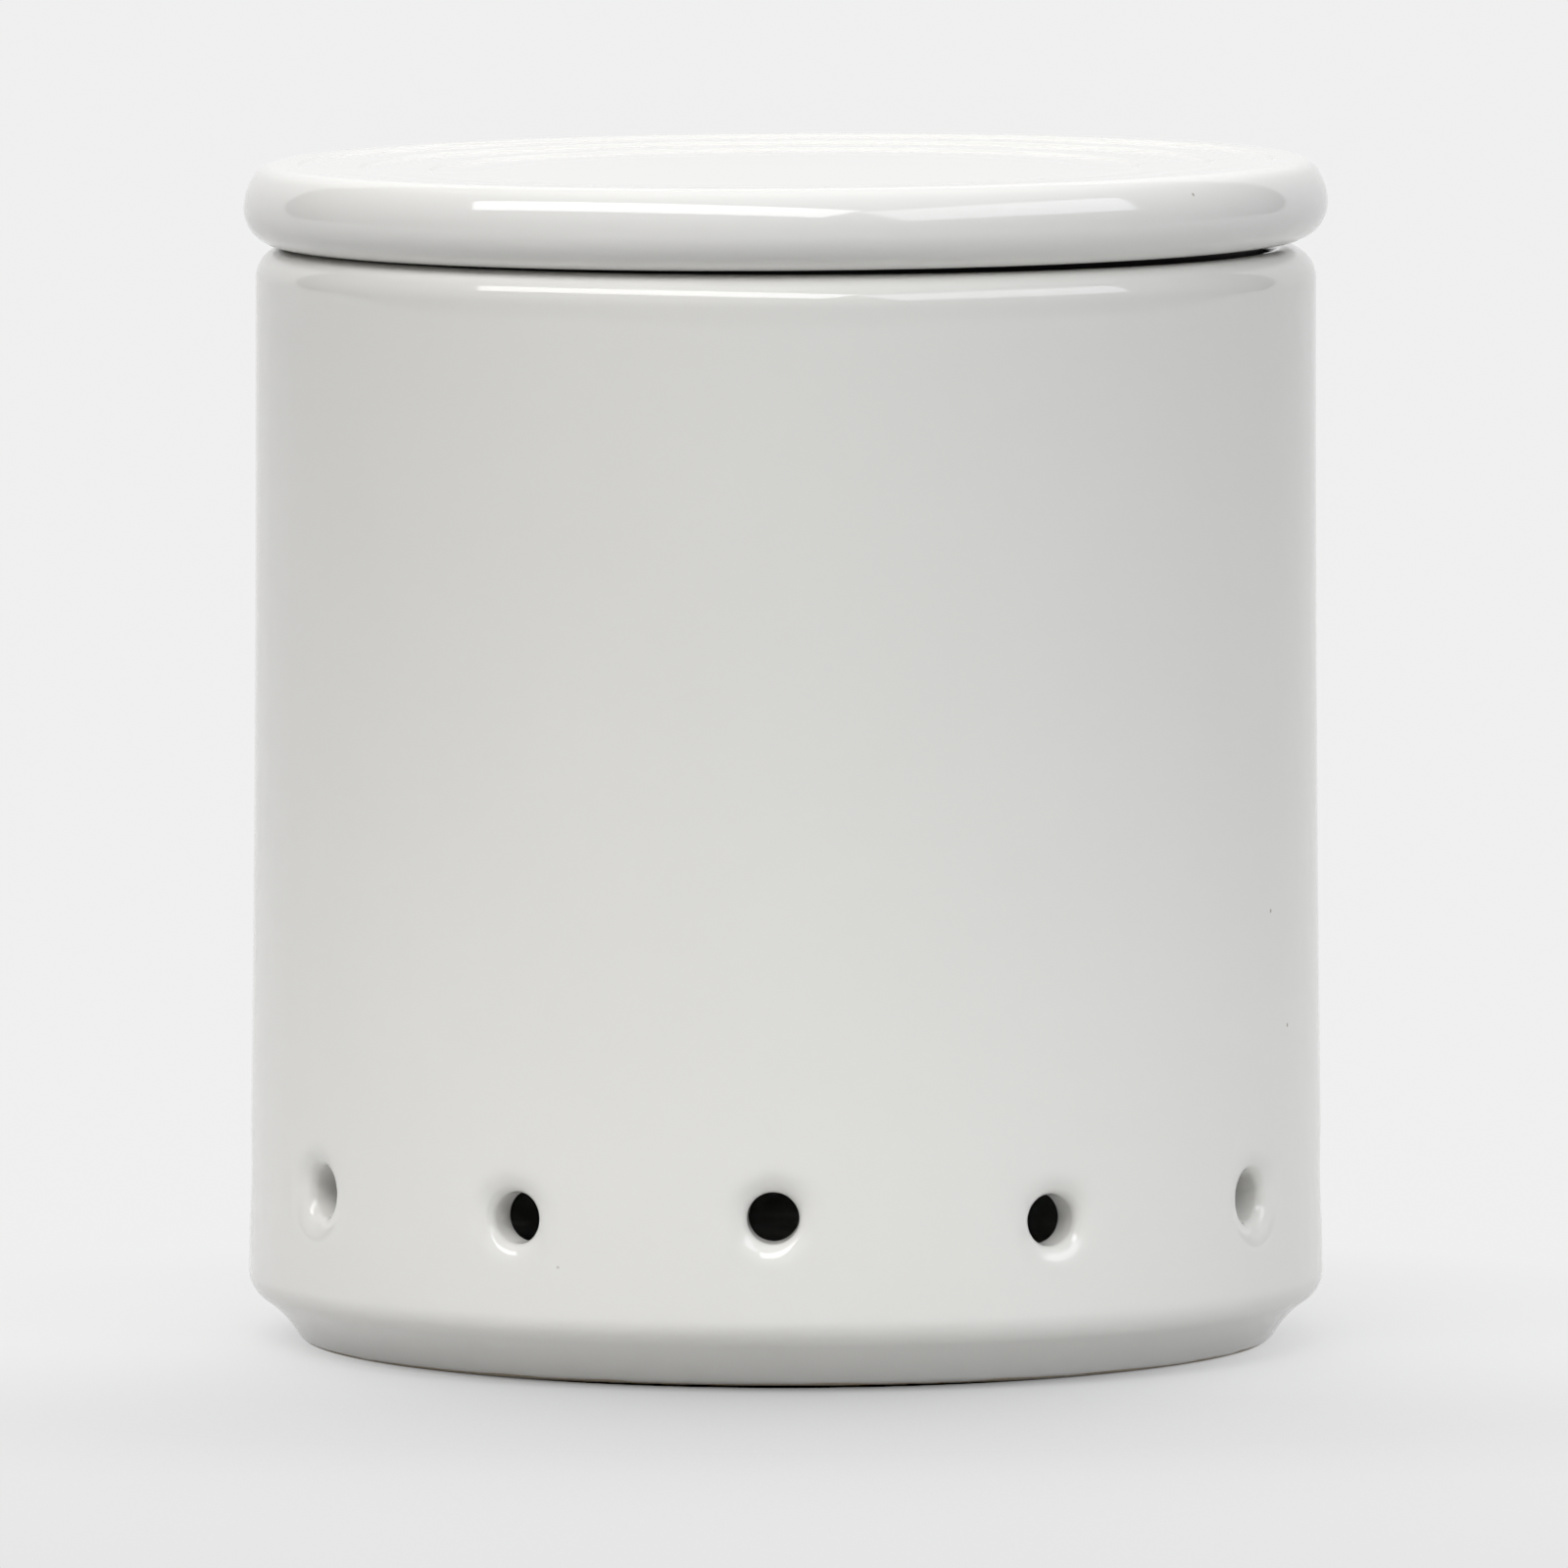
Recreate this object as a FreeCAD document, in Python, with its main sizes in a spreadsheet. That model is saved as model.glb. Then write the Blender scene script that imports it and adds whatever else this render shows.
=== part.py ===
import FreeCAD, Part
import math
import os
import Sketcher

# A glazed stoneware garlic keeper: a crock with a ring of vents near its foot, and a round
# lid whose plug carries a ribbed silicone gasket. All lengths are millimetres, +Z is up, and
# the origin is the centre of the circle on which the foot stands.

doc = FreeCAD.newDocument("garlic_keeper")

# Driving dimensions

SIZES = [
    # Crock, outside
    ("rim_height", 111.2, "top of the rim above the table"),
    ("rim_radius", 53.8, "outer radius just under the rim"),
    ("wall_flare", 0.86, "growth of the outer radius from the rim to the shoulder"),
    ("shoulder_round", 3.3, "convex round where the wall turns in to the foot"),
    ("shoulder_slope", 56.0, "steepest lean of the foot from vertical, degrees"),
    ("foot_sweep", 11.7, "hollow round of the foot"),
    ("foot_slope", 31.0, "lean of the foot where its edge round begins, degrees"),
    ("foot_round", 1.4, "round on the outer edge of the foot ring"),
    # Crock, inside and underneath
    ("wall", 4.5, "wall thickness"),
    ("rim_round", 4.5, "outer round of the rim"),
    ("rim_inner_round", 1.0, "inner round of the rim"),
    ("floor_thickness", 4.5, "thickness of the crock's floor"),
    ("floor_round", 5.0, "inside corner between floor and wall"),
    ("floor_round_middle", 1.46, "how far the middle of that corner stands in from floor and wall"),
    ("recess_depth", 2.2, "depth of the hollow inside the foot ring"),
    ("foot_ring_width", 4.2, "flat width of the foot ring"),
    ("recess_bevel", 0.8, "bevels at the edge of the hollow"),
    # Vents
    ("vent_count", 12, "vents round the crock"),
    ("vent_radius", 2.52, "radius of a vent's bore"),
    ("vent_height", 16.8, "height of the vents' centres"),
    ("vent_lip", 1.5, "width and depth of a vent's softened outer lip"),
    ("vent_lip_middle", 0.44, "width and depth of the lip where its two slopes meet"),
    ("vent_inner_bevel", 0.5, "bevel of a vent's inner edge"),
    # Lid
    ("lid_gap", 0.4, "gap between the rim and the underside of the lid"),
    ("lid_overhang", 1.2, "how far the lid's edge stands out past the rim"),
    ("lid_under_round", 3.75, "lower round of the lid's edge"),
    ("lid_side_round", 5.8, "upper side round of the lid's edge"),
    ("lid_side_turn", 37.0, "how far the side round turns, degrees"),
    ("lid_crown_round", 2.5, "round from the side on to the top"),
    ("ring_margin", 5.6, "from the lid's edge to the outer step on its top"),
    ("ring_band_outer", 6.3, "from the outer step to the middle one"),
    ("ring_band_inner", 7.2, "from the middle step to the inner one"),
    ("ring_drop", 0.33, "height of each step"),
    ("ring_run", 0.9, "width of each step's slope"),
    ("lid_thickness", 4.5, "thickness of the lid at its centre"),
    # Plug under the lid
    ("plug_clearance", 2.7, "from the crock's bore to the plug's foot"),
    ("plug_wall", 4.4, "thickness of the plug's wall"),
    ("plug_depth", 11.0, "depth of the plug below the lid"),
    ("plug_bevel", 0.9, "bevels on the plug's lower edge and inner corner"),
    ("groove_depth", 1.1, "depth of the gasket's groove in the plug"),
    ("plug_foot", 2.4, "height of the plug below the groove"),
    # Gasket
    ("gasket_fit", 0.1, "clearance of the gasket in its groove"),
    ("gasket_sleeve", 1.5, "thickness of the gasket's sleeve"),
    ("gasket_collar", 0.9, "clearance from the bore to the collar seen under the lid"),
    ("collar_height", 1.3, "height of that collar"),
    ("fin_count", 2, "sealing fins below the collar"),
    ("fin_clearance", 0.25, "clearance from the bore to a fin's tip"),
    ("fin_pitch", 2.9, "height from one fin to the next"),
    ("fin_root", 1.5, "height of a fin where it leaves the sleeve"),
    ("fin_tip", 0.5, "height of a fin at its tip"),
    ("fin_rise", 0.4, "how far a fin's tip sits above its root's middle"),
]

sheet = doc.addObject("Spreadsheet::Sheet", "Sizes")
for row, (alias, number, meaning) in enumerate(SIZES, start=1):
    sheet.set(f"A{row}", meaning)
    sheet.set(f"B{row}", str(number))
    sheet.setAlias(f"B{row}", alias)
doc.recompute()


class Measure:
    """A number worked out from the sheet, with the expression that keeps it bound to the sheet."""

    def __init__(self, value, text):
        self.value = value
        self.text = text

    def __add__(self, other):
        other = measure(other)
        return Measure(self.value + other.value, f"({self.text} + {other.text})")

    def __sub__(self, other):
        other = measure(other)
        return Measure(self.value - other.value, f"({self.text} - {other.text})")

    def __mul__(self, other):
        other = measure(other)
        return Measure(self.value * other.value, f"({self.text} * {other.text})")

    def __truediv__(self, other):
        other = measure(other)
        return Measure(self.value / other.value, f"({self.text} / {other.text})")


def measure(item):
    """A plain number as a Measure, or a Measure as it is."""
    if isinstance(item, Measure):
        return item
    return Measure(float(item), str(item))


def size(alias):
    """The sheet's value of that name."""
    return Measure(float(sheet.get(alias)), f"Sizes.{alias}")


def root(item):
    return Measure(math.sqrt(item.value), f"sqrt({item.text})")


def sine(angle):
    return Measure(math.sin(math.radians(angle.value)), f"sin({angle.text})")


def cosine(angle):
    return Measure(math.cos(math.radians(angle.value)), f"cos({angle.text})")


AXIS = measure(0)
ZERO = measure(0)


def arc_between(start, end, radius, side):
    """The short arc from start to end, its centre to the left (1) or right (-1) of the way."""
    chord = end - start
    half = chord.Length / 2
    away = math.sqrt(max(radius * radius - half * half, 0.0))
    left = FreeCAD.Vector(-chord.y, chord.x, 0).normalize()
    centre = (start + end) / 2 + left * (side * away)
    first, last = (start, end) if side > 0 else (end, start)
    angles = [math.atan2(point.y - centre.y, point.x - centre.x) for point in (first, last)]
    circle = Part.Circle(centre, FreeCAD.Vector(0, 0, 1), radius)
    return Part.ArcOfCircle(circle, angles[0], angles[1])


def bind(sketch, kind, places, item):
    """One dimension of the sketch, kept equal to a Measure."""
    number = sketch.addConstraint(Sketcher.Constraint(kind, *places, item.value))
    sketch.setExpression(f"Constraints[{number}]", item.text)


def pin_down(sketch, edge, end, x, z):
    """Fix one end of an edge at x from the axis and z above the table."""
    for kind, item, line in (("DistanceX", x, -2), ("DistanceY", z, -1)):
        if item is AXIS:
            sketch.addConstraint(Sketcher.Constraint("PointOnObject", edge, end, line))
        else:
            bind(sketch, kind, (-1, 1, edge, end), item)


def outline(body, name, corners, plane="XZ_Plane"):
    """A closed outline in one of the body's upright planes, x across and z up.

    Each corner is (x, z) for a straight edge to it, or (x, z, radius, side) for an arc to it.
    """
    planes = [item for item in body.Origin.OriginFeatures if item.Role == plane]
    sketch = body.newObject("Sketcher::SketchObject", name)
    sketch.AttachmentSupport = [(planes[0], "")]
    sketch.MapMode = "FlatFace"
    ends = []
    for number, corner in enumerate(corners):
        before = corners[number - 1]
        start = FreeCAD.Vector(before[0].value, before[1].value, 0)
        stop = FreeCAD.Vector(corner[0].value, corner[1].value, 0)
        if len(corner) == 2:
            edge = sketch.addGeometry(Part.LineSegment(start, stop), False)
            ends.append((edge, 1, 2))
        else:
            radius, side = corner[2], corner[3]
            edge = sketch.addGeometry(arc_between(start, stop, radius.value, side), False)
            ends.append((edge, 1, 2) if side > 0 else (edge, 2, 1))
    for number, (edge, begin, finish) in enumerate(ends):
        next_edge, next_begin, _ = ends[(number + 1) % len(ends)]
        join = Sketcher.Constraint("Coincident", edge, finish, next_edge, next_begin)
        sketch.addConstraint(join)
        pin_down(sketch, edge, finish, corners[number][0], corners[number][1])
        if len(corners[number]) > 2:
            bind(sketch, "Radius", (edge,), corners[number][2])
    return sketch


def turned(label, corners):
    """A body made by turning an outline once round the Z axis."""
    body = doc.addObject("PartDesign::Body", label)
    body.Label = label
    sketch = outline(body, f"{label}_outline", corners)
    spin = body.newObject("PartDesign::Revolution", f"{label}_turned")
    spin.Profile = sketch
    spin.ReferenceAxis = (sketch, ["V_Axis"])
    spin.Angle = 360
    body.Tip = spin
    body.Placement = FreeCAD.Placement()
    doc.recompute()
    return body


# Crock: outline of the wall, from the hollow underneath, round the foot and up to the rim

rim_height = size("rim_height")
rim_radius = size("rim_radius")
wall = size("wall")
shoulder_radius = rim_radius + size("wall_flare")
bore_radius = rim_radius - wall

shoulder_sine = sine(size("shoulder_slope"))
shoulder_cosine = cosine(size("shoulder_slope"))
foot_sine = sine(size("foot_slope"))
foot_cosine = cosine(size("foot_slope"))

foot_edge_height = size("foot_round") * (measure(1) - foot_sine)
sweep_top_height = foot_edge_height + size("foot_sweep") * (shoulder_sine - foot_sine)
shoulder_height = sweep_top_height + size("shoulder_round") * shoulder_sine
sweep_top_radius = shoulder_radius - size("shoulder_round") * (measure(1) - shoulder_cosine)
foot_edge_radius = sweep_top_radius - size("foot_sweep") * (foot_cosine - shoulder_cosine)
foot_radius = foot_edge_radius - size("foot_round") * foot_cosine
recess_radius = foot_radius - size("foot_ring_width")

# The rim's outer and inner rounds meet in one smooth line
round_offset = size("rim_round") + size("rim_inner_round") - wall
round_gap = size("rim_round") - size("rim_inner_round")
round_rise = root(round_gap * round_gap - round_offset * round_offset)
inner_round_height = rim_height - size("rim_inner_round")
outer_round_height = inner_round_height - round_rise
crest_share = size("rim_round") / round_gap
crest_radius = rim_radius - size("rim_round") + crest_share * round_offset
crest_height = outer_round_height + crest_share * round_rise

floor_height = size("recess_depth") + size("floor_thickness")
inside_radius = shoulder_radius - wall

crock_corners = [
    (AXIS, size("recess_depth")),
    (recess_radius - size("recess_bevel"), size("recess_depth")),
    (recess_radius, size("recess_depth") - size("recess_bevel")),
    (recess_radius, size("recess_bevel") / 2),
    (recess_radius + size("recess_bevel") / 2, AXIS),
    (foot_radius, AXIS),
    (foot_edge_radius, foot_edge_height, size("foot_round"), 1),
    (sweep_top_radius, sweep_top_height, size("foot_sweep"), -1),
    (shoulder_radius, shoulder_height, size("shoulder_round"), 1),
    (rim_radius, outer_round_height),
    (crest_radius, crest_height, size("rim_round"), 1),
    (bore_radius, inner_round_height, size("rim_inner_round"), 1),
    (inside_radius, floor_height + size("floor_round")),
    (inside_radius - size("floor_round_middle"), floor_height + size("floor_round_middle")),
    (inside_radius - size("floor_round"), floor_height),
    (AXIS, floor_height),
]
crock = turned("crock", crock_corners)

# Crock: one vent through the front wall, turned about its own axis, then repeated

vent_height = size("vent_height")
flank_lean = size("wall_flare") / (outer_round_height - shoulder_height)
vent_wall_radius = shoulder_radius - (vent_height - shoulder_height) * flank_lean
lip_top = size("vent_radius") + size("vent_lip")
lip_middle = size("vent_radius") + size("vent_lip_middle")
lip_end = vent_wall_radius
inner_top = size("vent_radius") + size("vent_inner_bevel")
inner_end = vent_wall_radius - wall

vent_corners = [
    (ZERO - lip_end - 1, vent_height),
    (ZERO - inner_end + 1, vent_height),
    (ZERO - inner_end + 1, vent_height + inner_top),
    (ZERO - inner_end, vent_height + inner_top),
    (ZERO - inner_end - size("vent_inner_bevel"), vent_height + size("vent_radius")),
    (ZERO - lip_end + size("vent_lip"), vent_height + size("vent_radius")),
    (ZERO - lip_end + size("vent_lip_middle"), vent_height + lip_middle),
    (ZERO - lip_end, vent_height + lip_top),
    (ZERO - lip_end - 1, vent_height + lip_top),
]
vent_sketch = outline(crock, "vent_outline", vent_corners, "YZ_Plane")
vent_axis = Part.LineSegment(
    FreeCAD.Vector(-lip_end.value, vent_height.value, 0),
    FreeCAD.Vector(-inner_end.value, vent_height.value, 0),
)
axis_line = vent_sketch.addGeometry(vent_axis, True)
pin_down(vent_sketch, axis_line, 1, ZERO - lip_end, vent_height)
pin_down(vent_sketch, axis_line, 2, ZERO - inner_end, vent_height)

wall_volume = crock.Shape.Volume
vent = crock.newObject("PartDesign::Groove", "vent")
vent.Profile = vent_sketch
vent.ReferenceAxis = (vent_sketch, ["Axis0"])
vent.Angle = 360
crock.Tip = vent
doc.recompute()
if crock.Shape.Volume > wall_volume - 1 or crock.Shape.Solids[0].CenterOfMass.y < 0:
    raise RuntimeError("the first vent does not pass through the front wall")

vents = crock.newObject("PartDesign::PolarPattern", "vents")
vents.Originals = [vent]
upright = [item for item in crock.Origin.OriginFeatures if item.Role == "Z_Axis"][0]
vents.Axis = (upright, [""])
vents.Angle = 360
vents.setExpression("Occurrences", size("vent_count").text)
crock.Tip = vents
doc.recompute()

# Lid: a thick round-edged disc, stepped down towards its middle, with a hollow plug below

seat_height = rim_height + size("lid_gap")
lid_edge_height = seat_height + size("lid_under_round")
side_sine = sine(size("lid_side_turn"))
side_cosine = cosine(size("lid_side_turn"))
lid_radius = rim_radius + size("lid_overhang")
side_top_radius = lid_radius - size("lid_side_round") * (measure(1) - side_cosine)
side_top_height = lid_edge_height + size("lid_side_round") * side_sine
crown_radius = side_top_radius - size("lid_crown_round") * side_cosine
crown_height = side_top_height + size("lid_crown_round") * (measure(1) - side_sine)


def ring_step(radius, top):
    """One shallow slope down towards the axis."""
    half_run = size("ring_run") / 2
    return [(radius + half_run, top), (radius - half_run, top - size("ring_drop"))]


outer_ring = lid_radius - size("ring_margin")
middle_ring = outer_ring - size("ring_band_outer")
inner_ring = middle_ring - size("ring_band_inner")
middle_top = crown_height - size("ring_drop")
lowest_top = middle_top - size("ring_drop")
centre_top = lowest_top - size("ring_drop")

plug_bottom = seat_height - size("plug_depth")
plug_radius = bore_radius - size("plug_clearance")
plug_inner = plug_radius - size("plug_wall")
plug_bevel = size("plug_bevel")
ceiling_height = centre_top - size("lid_thickness")
groove_radius = plug_radius - size("groove_depth")
groove_bottom = plug_bottom + size("plug_foot")

lid_corners = [
    (AXIS, ceiling_height),
    (plug_inner - plug_bevel, ceiling_height),
    (plug_inner, ceiling_height - plug_bevel),
    (plug_inner, plug_bottom + plug_bevel),
    (plug_inner + plug_bevel, plug_bottom),
    (plug_radius - plug_bevel, plug_bottom),
    (plug_radius, plug_bottom + plug_bevel),
    (plug_radius, groove_bottom),
    (groove_radius, groove_bottom),
    (groove_radius, seat_height),
    (lid_radius - size("lid_under_round"), seat_height),
    (lid_radius, lid_edge_height, size("lid_under_round"), 1),
    (side_top_radius, side_top_height, size("lid_side_round"), 1),
    (crown_radius, crown_height, size("lid_crown_round"), 1),
]
lid_corners += ring_step(outer_ring, crown_height)
lid_corners += ring_step(middle_ring, middle_top)
lid_corners += ring_step(inner_ring, lowest_top)
lid_corners.append((AXIS, centre_top))
lid = turned("lid", lid_corners)

# Gasket: a silicone sleeve in the plug's groove, with a collar under the lid and fins below

sleeve_inner = groove_radius + size("gasket_fit")
sleeve_outer = sleeve_inner + size("gasket_sleeve")
sleeve_bottom = groove_bottom + size("gasket_fit")
collar_radius = bore_radius - size("gasket_collar")
collar_bottom = seat_height - size("collar_height")
fin_radius = bore_radius - size("fin_clearance")
half_root = size("fin_root") / 2
half_tip = size("fin_tip") / 2

gasket_corners = [
    (sleeve_inner, seat_height),
    (sleeve_inner, sleeve_bottom),
    (sleeve_outer, sleeve_bottom),
]
for number in range(int(size("fin_count").value), 0, -1):
    middle = collar_bottom - size("fin_pitch") * number + half_root
    tip = middle + size("fin_rise")
    gasket_corners += [
        (sleeve_outer, middle - half_root),
        (fin_radius, tip - half_tip),
        (fin_radius, tip + half_tip),
        (sleeve_outer, middle + half_root),
    ]
gasket_corners += [
    (sleeve_outer, collar_bottom),
    (collar_radius, collar_bottom),
    (collar_radius, seat_height),
]
gasket = turned("lid_gasket", gasket_corners)

# Check every object, then write one file for each piece

doc.recompute()
for item in doc.Objects:
    if "Invalid" in item.State or "Error" in item.State:
        raise RuntimeError(f"{item.Label} did not build: {item.State}")
for body in (crock, lid, gasket):
    if body.Shape.isNull() or not body.Shape.isValid() or len(body.Shape.Solids) != 1:
        raise RuntimeError(f"{body.Label} is not one valid solid")

os.makedirs("parts", exist_ok=True)
for body in (crock, lid, gasket):
    body.Shape.exportStep(f"parts/{body.Label}.step")
    box = body.Shape.BoundBox
    print(f"{body.Label}: z {box.ZMin:.2f} to {box.ZMax:.2f}, radius {box.XMax:.2f},", end=" ")
    print(f"volume {body.Shape.Volume:.0f}, faces {len(body.Shape.Faces)}")
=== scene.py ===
import math

import bmesh
import bpy
import numpy as np
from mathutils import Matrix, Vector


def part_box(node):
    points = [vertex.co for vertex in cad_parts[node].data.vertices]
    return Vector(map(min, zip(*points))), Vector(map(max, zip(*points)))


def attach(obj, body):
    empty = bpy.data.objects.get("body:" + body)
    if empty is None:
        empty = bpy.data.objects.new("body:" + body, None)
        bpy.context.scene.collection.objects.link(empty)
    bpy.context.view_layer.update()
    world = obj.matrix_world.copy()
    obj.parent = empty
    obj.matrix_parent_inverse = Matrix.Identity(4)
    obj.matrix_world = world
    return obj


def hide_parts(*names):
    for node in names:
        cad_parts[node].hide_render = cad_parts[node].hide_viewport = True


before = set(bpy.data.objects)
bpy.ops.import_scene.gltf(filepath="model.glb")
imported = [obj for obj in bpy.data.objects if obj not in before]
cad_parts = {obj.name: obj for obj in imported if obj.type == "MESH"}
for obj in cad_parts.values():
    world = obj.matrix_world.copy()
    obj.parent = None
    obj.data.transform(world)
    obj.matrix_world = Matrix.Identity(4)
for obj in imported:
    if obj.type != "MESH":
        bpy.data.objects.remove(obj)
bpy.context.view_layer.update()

# Crock. One cast piece of stoneware with a softly flared wall, a hollow-swept foot and a ring
# of vents pierced through the wet clay, so that their lips are soft. It is dipped in white
# glaze all over but for the ring it stands on, which is wiped back to bare clay.

MM = 0.001

rim_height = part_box("crock")[1].z / MM
shoulder_radius = 54.66
wall_flare = 0.86
rim_radius = shoulder_radius - wall_flare
wall = 4.5
bore_radius = rim_radius - wall

shoulder_round = 3.3
shoulder_slope = 56.0
foot_sweep = 11.7
foot_slope = 31.0
foot_round = 1.4
foot_ring_width = 4.2
foot_inner_round = 0.4
recess_depth = 2.2
recess_round = 0.8
floor_thickness = 4.5
floor_round = 5.0

# The rim turns in a little tighter than its plain solid does, because its bright strip is narrow
rim_round = 3.2
rim_inner_round = 1.0

vent_count = 12
vent_height = 16.8
vent_mouth = 2.6
vent_throat = 2.5
vent_lip = 0.7
vent_inner_lip = 0.4
vent_dimple_depth = 0.55
vent_dimple_reach = 1.9


def arc_points(centre, radius, start, stop, steps):
    """Points along a round, by angle in degrees from straight outwards."""
    turns = np.radians(np.linspace(start, stop, steps + 1))
    return [(centre[0] + radius * math.cos(a), centre[1] + radius * math.sin(a)) for a in turns]


slope_sine = math.sin(math.radians(shoulder_slope))
slope_cosine = math.cos(math.radians(shoulder_slope))
foot_sine = math.sin(math.radians(foot_slope))
foot_cosine = math.cos(math.radians(foot_slope))
foot_edge_height = foot_round * (1 - foot_sine)
sweep_top_height = foot_edge_height + foot_sweep * (slope_sine - foot_sine)
shoulder_height = sweep_top_height + shoulder_round * slope_sine
sweep_top_radius = shoulder_radius - shoulder_round * (1 - slope_cosine)
foot_edge_radius = sweep_top_radius - foot_sweep * (foot_cosine - slope_cosine)
foot_radius = foot_edge_radius - foot_round * foot_cosine
recess_radius = foot_radius - foot_ring_width

crest_offset = rim_round + rim_inner_round - wall
crest_reach = rim_round - rim_inner_round
crest_turn = math.degrees(math.acos(crest_offset / crest_reach))
inner_round_height = rim_height - rim_inner_round
outer_round_height = inner_round_height - math.sqrt(crest_reach**2 - crest_offset**2)
floor_height = recess_depth + floor_thickness


def flank_radius(height):
    """Outer radius of the wall, which flares a little more the lower it gets."""
    drop = (outer_round_height - height) / (outer_round_height - shoulder_height)
    return rim_radius + wall_flare * drop**2


def bore_at(height):
    """Inner radius of the wall at a height."""
    return flank_radius(height) - wall


# Three outlines, as radius and height: from the middle of the underside up to the band that
# holds the vents, from there over the rim to the same band inside, and on down to the middle of
# the floor.
vent_band_low, vent_band_high = 8.6, 25.4
inner_band_low = 12.4
ring_row = 2.0

underside = [(radius, recess_depth) for radius in (0, 16, 30, 40)]
recess_centre = (recess_radius - recess_round, recess_depth - recess_round)
underside += arc_points(recess_centre, recess_round, 90, 0, 5)
foot_inner_centre = (recess_radius + foot_inner_round, foot_inner_round)
underside += arc_points(foot_inner_centre, foot_inner_round, 180, 270, 3)
underside += [(recess_radius + ring_row, 0)]
underside += arc_points((foot_radius, foot_round), foot_round, -90, -foot_slope, 6)
sweep_centre = (
    sweep_top_radius + foot_sweep * slope_cosine,
    sweep_top_height - foot_sweep * slope_sine,
)
underside += arc_points(sweep_centre, foot_sweep, 180 - foot_slope, 180 - shoulder_slope, 8)[1:]
shoulder_centre = (shoulder_radius - shoulder_round, shoulder_height)
underside += arc_points(shoulder_centre, shoulder_round, -shoulder_slope, 0, 10)[1:]
underside += [(flank_radius(z), z) for z in np.linspace(shoulder_height, vent_band_low, 3)[1:]]

upper = [(flank_radius(z), z) for z in np.linspace(vent_band_high, outer_round_height, 22)]
rim_centre = (rim_radius - rim_round, outer_round_height)
upper += arc_points(rim_centre, rim_round, 0, crest_turn, 12)[1:]
bore_centre = (bore_radius + rim_inner_round, inner_round_height)
upper += arc_points(bore_centre, rim_inner_round, crest_turn, 180, 6)[1:]
upper += [(bore_at(z), z) for z in np.linspace(outer_round_height, vent_band_high, 12)]

inside_radius = bore_at(floor_height + floor_round)
lower_bore = [(bore_at(inner_band_low), inner_band_low)]
floor_centre = (inside_radius - floor_round, floor_height + floor_round)
lower_bore += arc_points(floor_centre, floor_round, 0, -90, 8)
lower_bore += [(radius, floor_height) for radius in (36, 24, 12, 0)]

# One twelfth of the crock, with its vent facing -Y
half_turn = math.pi / vent_count
columns = 20
band_rows = 12
seam_reach = 0.005
corners = []
faces = []


def join_rows(rows, closed):
    """Faces between each row of corners and the next, each given by its corners' numbers."""
    joined = []
    for lower, higher in zip(rows, rows[1:]):
        count = len(lower)
        for number in range(count if closed else count - 1):
            after = (number + 1) % count
            ring = [lower[number], lower[after], higher[after], higher[number]]
            kept = list(dict.fromkeys(ring))
            if len(kept) > 2:
                joined.append(kept)
    return joined


def sweep_round(outline):
    """Adds the strip that an outline makes when it turns through one twelfth."""
    rows = []
    for radius, height in outline:
        if radius == 0:
            corners.append((0, 0, height))
            rows.append([len(corners) - 1] * (columns + 1))
            continue
        row = []
        for turn in np.linspace(-half_turn, half_turn, columns + 1):
            corners.append((radius * math.sin(turn), -radius * math.cos(turn), height))
            row.append(len(corners) - 1)
        rows.append(row)
    faces.extend(join_rows(rows, closed=False))


def dimple(reach):
    """How deep the soft hollow round a vent is, at a distance from the vent's axis."""
    share = (reach - vent_mouth - vent_lip) / vent_dimple_reach
    return vent_dimple_depth * max(0.0, 1.0 - share) ** 2


def vent_rings(radius_at, low, high, hole, lip, inward, soft):
    """Rows of corners from the vent's hole over its lip to the edge of the band it sits in."""
    across = np.linspace(-half_turn, half_turn, columns + 1)
    up = np.linspace(low, high, band_rows + 1)
    edge = [(turn, low) for turn in across]
    edge += [(half_turn, height) for height in up[1:]]
    edge += [(turn, high) for turn in across[::-1][1:]]
    edge += [(-half_turn, height) for height in up[::-1][1:-1]]
    count = len(edge)
    seen = [math.atan2(z - vent_height, turn * radius_at(z)) for turn, z in edge]
    seen = np.unwrap(seen)
    even = seen[0] + 2 * math.pi * np.arange(count) / count
    even += np.mean(seen - even)
    # Between where the edge's corners lie and an even spread, so that no faces get cramped
    seen_weight, even_weight = 0.45, 0.55
    directions = seen_weight * seen + even_weight * even
    rows = []
    lip_steps = 9
    for step in range(lip_steps + 1):
        tilt = math.pi / 2 * step / lip_steps
        reach = hole + lip * (1 - math.cos(tilt))
        sink = lip * (1 - math.sin(tilt))
        row = []
        for direction in directions:
            x = reach * math.cos(direction)
            z = vent_height + reach * math.sin(direction)
            depth = sink + (dimple(reach) if soft else 0)
            y = -math.sqrt(radius_at(z) ** 2 - x * x) + inward * depth
            corners.append((x, y, z))
            row.append(len(corners) - 1)
        rows.append(row)
    spread_steps = 9
    spread_ease = 1.3
    for step in range(1, spread_steps + 1):
        share = (step / spread_steps) ** spread_ease
        row = []
        for direction, (edge_turn, edge_z) in zip(directions, edge):
            reach = hole + lip
            x = reach * math.cos(direction)
            z = vent_height + reach * math.sin(direction)
            turn = math.asin(x / radius_at(z)) * (1 - share) + edge_turn * share
            z = z * (1 - share) + edge_z * share
            away = math.hypot(turn * radius_at(z), z - vent_height)
            radius = radius_at(z) - inward * (dimple(away) if soft and step < spread_steps else 0)
            corners.append((radius * math.sin(turn), -radius * math.cos(turn), z))
            row.append(len(corners) - 1)
        rows.append(row)
    return rows


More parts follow.
